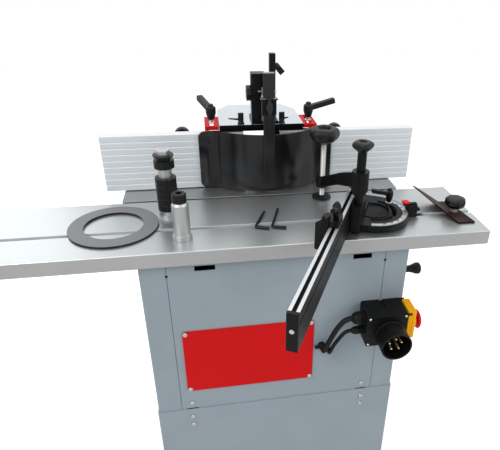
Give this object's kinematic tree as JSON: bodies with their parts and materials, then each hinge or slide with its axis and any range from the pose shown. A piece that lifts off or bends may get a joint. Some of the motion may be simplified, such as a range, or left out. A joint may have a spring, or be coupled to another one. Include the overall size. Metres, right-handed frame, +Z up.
{
  "type": "spindle moulder with sliding table",
  "caption": "Spindle moulder: sheet-metal cabinet, iron table with guarded vertical spindle and fences, aluminium sliding table with mitre gauge and hold-down clamp.",
  "frame": {"origin": "on the floor, at the centre of the stand's bottom pan", "axes": "+X to the operator's right along the fences, +Y away from the operator, +Z up"},
  "size_m": [1, 0.88, 1.1325],
  "materials": {
    "cabinet_paint": "satin",
    "red_paint": "gloss",
    "screw_steel": "satin",
    "iron": "ground",
    "dark_iron": "satin",
    "steel": "satin",
    "black_steel": "satin",
    "aluminium": "satin",
    "lid_paint": "satin",
    "black_paint": "satin",
    "black_casting": "satin",
    "black_plastic": "satin",
    "screw_and_knob": "satin",
    "motor_paint": "satin",
    "rubber": "matte",
    "switch_grey": "satin",
    "yellow_plastic": "gloss",
    "red_plastic": "gloss",
    "green_plastic": "gloss"
  },
  "bodies": {
    "root": {"stand_shell": "cabinet_paint", "cabinet_shell": "cabinet_paint", "front_panel": "cabinet_paint", "screws_and_pins": "screw_steel", "cover_plate": "red_paint", "iron_table": "iron", "insert_ring": "dark_iron", "slide_rail": "steel", "quill_housing": "dark_iron", "shaft_bush": "black_plastic", "housing_left": "red_paint", "housing_right": "red_paint", "housing_rear": "red_paint", "fence_lid": "lid_paint", "clamp_knobs": "black_plastic", "dust_port": "black_plastic", "guard_bracket": "black_paint", "switch_box": "switch_grey", "mains_inlet": "switch_grey", "cable_glands": "black_plastic", "switch_leads": "rubber"},
    "lift": {"quill": "steel", "lift_rack": "steel", "motor_plate": "dark_iron", "motor_body": "motor_paint", "drive_belt": "rubber"},
    "spindle": {"spindle_shaft": "steel", "spindle_pulley": "aluminium"},
    "motor_rotor": {"motor_pulley": "aluminium"},
    "wheel": {"handwheel": "black_paint", "pinion_shaft": "steel"},
    "grip": {"handwheel_grip": "black_plastic"},
    "sliding": {"sliding_table": "aluminium", "spare_ring": "dark_iron", "spare_spindles": "steel", "spare_collars": "black_steel", "hex_keys": "black_steel"},
    "gauge_base": {"mitre_base": "black_casting", "angle_pointer": "red_plastic"},
    "gauge_head": {"protractor": "black_casting", "angle_scale": "aluminium", "holddown_post": "steel"},
    "gauge_lever": {"mitre_lever": "black_steel"},
    "gauge_fence": {"mitre_fence": "aluminium"},
    "stop_block": {"stop_carrier": "black_steel"},
    "stop_plate": {"flip_stop": "aluminium"},
    "clamp_arm": {"holddown_arm": "black_paint"},
    "pad": {"press_pad": "steel"},
    "screw": {"press_screw": "screw_and_knob"},
    "left_fence": {"fence_left": "aluminium"},
    "right_fence": {"fence_right": "aluminium"},
    "left_lever": {"fence_lever_left": "black_steel"},
    "right_lever": {"fence_lever_right": "black_steel"},
    "guard_slide": {"guard_arm": "black_paint"},
    "guard": {"guard_hood": "black_paint"},
    "flap": {"switch_flap": "yellow_plastic"},
    "mushroom": {"stop_mushroom": "red_plastic"},
    "start": {"start_button": "green_plastic"},
    "shoe": {"edging_shoe": "black_steel"},
    "shoe_nut": {"shoe_knob": "black_plastic"}
  },
  "joints": [
    {"name": "spindle_lift", "type": "slide", "parent": "root", "child": "lift", "axis": [0, 0, 1], "range_m": [-0.06, 0.03]},
    {"name": "handwheel_turn", "type": "hinge", "parent": "root", "child": "wheel", "pos_m": [0.3, 0.0025, 0.585], "axis": [1, 0, 0], "range_deg": [-173, 87]},
    {"name": "grip_spin", "type": "hinge", "parent": "wheel", "child": "grip", "pos_m": [0.34, -0.0608, 0.63392], "axis": [1, 0, 0], "continuous": true},
    {"name": "spindle_spin", "type": "hinge", "parent": "lift", "child": "spindle", "pos_m": [0, 0.0725, 0.85], "axis": [0, 0, 1], "continuous": true},
    {"name": "motor_spin", "type": "hinge", "parent": "lift", "child": "motor_rotor", "pos_m": [-0.15, 0.0725, 0.483], "axis": [0, 0, 1], "continuous": true},
    {"name": "table_slide", "type": "slide", "parent": "root", "child": "sliding", "axis": [1, 0, 0], "range_m": [-0.015, 0.3]},
    {"name": "gauge_slide", "type": "slide", "parent": "sliding", "child": "gauge_base", "axis": [1, 0, 0], "range_m": [-0.008, 0.015]},
    {"name": "gauge_swivel", "type": "hinge", "parent": "gauge_base", "child": "gauge_head", "pos_m": [0.202, -0.1835, 0.86], "axis": [0, 0, 1], "range_deg": [-10, 40]},
    {"name": "gauge_lever_turn", "type": "hinge", "parent": "gauge_base", "child": "gauge_lever", "pos_m": [0.241, -0.16539, 0.88], "axis": [0, 0, 1], "range_deg": [-60, 60]},
    {"name": "gauge_fence_slide", "type": "slide", "parent": "gauge_head", "child": "gauge_fence", "axis": [0.4399, 0.898, 0], "range_m": [-0.05, 0.02]},
    {"name": "stop_slide", "type": "slide", "parent": "gauge_fence", "child": "stop_block", "axis": [0.4399, 0.898, 0], "range_m": [-0.1, 0.06]},
    {"name": "stop_flip", "type": "hinge", "parent": "stop_block", "child": "stop_plate", "pos_m": [0.0639, -0.33856, 0.9313], "axis": [0.4399, 0.898, 0], "range_deg": [0, 90]},
    {"name": "clamp_swing", "type": "hinge", "parent": "gauge_head", "child": "clamp_arm", "pos_m": [0.15365, -0.23219, 0.95], "axis": [0, 0, 1], "range_deg": [-25, 0]},
    {"name": "press_lift", "type": "slide", "parent": "clamp_arm", "child": "pad", "axis": [0, 0, 1], "range_m": [0, 0.0162]},
    {"name": "press_turn", "type": "hinge", "parent": "pad", "child": "screw", "pos_m": [0.12, -0.0715, 0.9], "axis": [0, 0, 1], "range_deg": [0, 1440]},
    {"name": "left_fence_slide", "type": "slide", "parent": "root", "child": "left_fence", "axis": [1, 0, 0], "range_m": [-0.06, 0.02]},
    {"name": "right_fence_slide", "type": "slide", "parent": "root", "child": "right_fence", "axis": [1, 0, 0], "range_m": [-0.02, 0.06]},
    {"name": "left_lever_turn", "type": "hinge", "parent": "root", "child": "left_lever", "pos_m": [-0.10825, 0.0465, 1], "axis": [0, 0, 1], "range_deg": [-40, 60]},
    {"name": "right_lever_turn", "type": "hinge", "parent": "root", "child": "right_lever", "pos_m": [0.10825, 0.0465, 1], "axis": [0, 0, 1], "range_deg": [-50, 60]},
    {"name": "guard_reach", "type": "slide", "parent": "root", "child": "guard_slide", "axis": [0, 1, 0], "range_m": [-0.008, 0]},
    {"name": "guard_height", "type": "slide", "parent": "guard_slide", "child": "guard", "axis": [0, 0, 1], "range_m": [0, 0.044]},
    {"name": "flap_open", "type": "hinge", "parent": "root", "child": "flap", "pos_m": [0.257, -0.286, 0.694], "axis": [0, -1, 0], "range_deg": [0, 75]},
    {"name": "stop_press", "type": "slide", "parent": "flap", "child": "mushroom", "axis": [-1, 0, 0], "range_m": [0, 0.004], "stiffness_N_per_m": 900},
    {"name": "start_press", "type": "slide", "parent": "root", "child": "start", "axis": [-1, 0, 0], "range_m": [0, 0.003], "stiffness_N_per_m": 700},
    {"name": "shoe_slide", "type": "slide", "parent": "sliding", "child": "shoe", "axis": [1, 0, 0], "range_m": [-0.015, 0.01]},
    {"name": "shoe_knob_turn", "type": "hinge", "parent": "shoe", "child": "shoe_nut", "pos_m": [0.381, -0.1835, 0.88], "axis": [0, 0, 1], "range_deg": [-90, 90]}
  ],
  "couplings": [
    {"joint": "handwheel_turn", "follows": "spindle_lift", "rad_per_m": 50},
    {"joint": "motor_spin", "follows": "spindle_spin", "ratio": 0.66667},
    {"joint": "press_lift", "follows": "press_turn", "m_per_rad": 0.00063662}
  ]
}
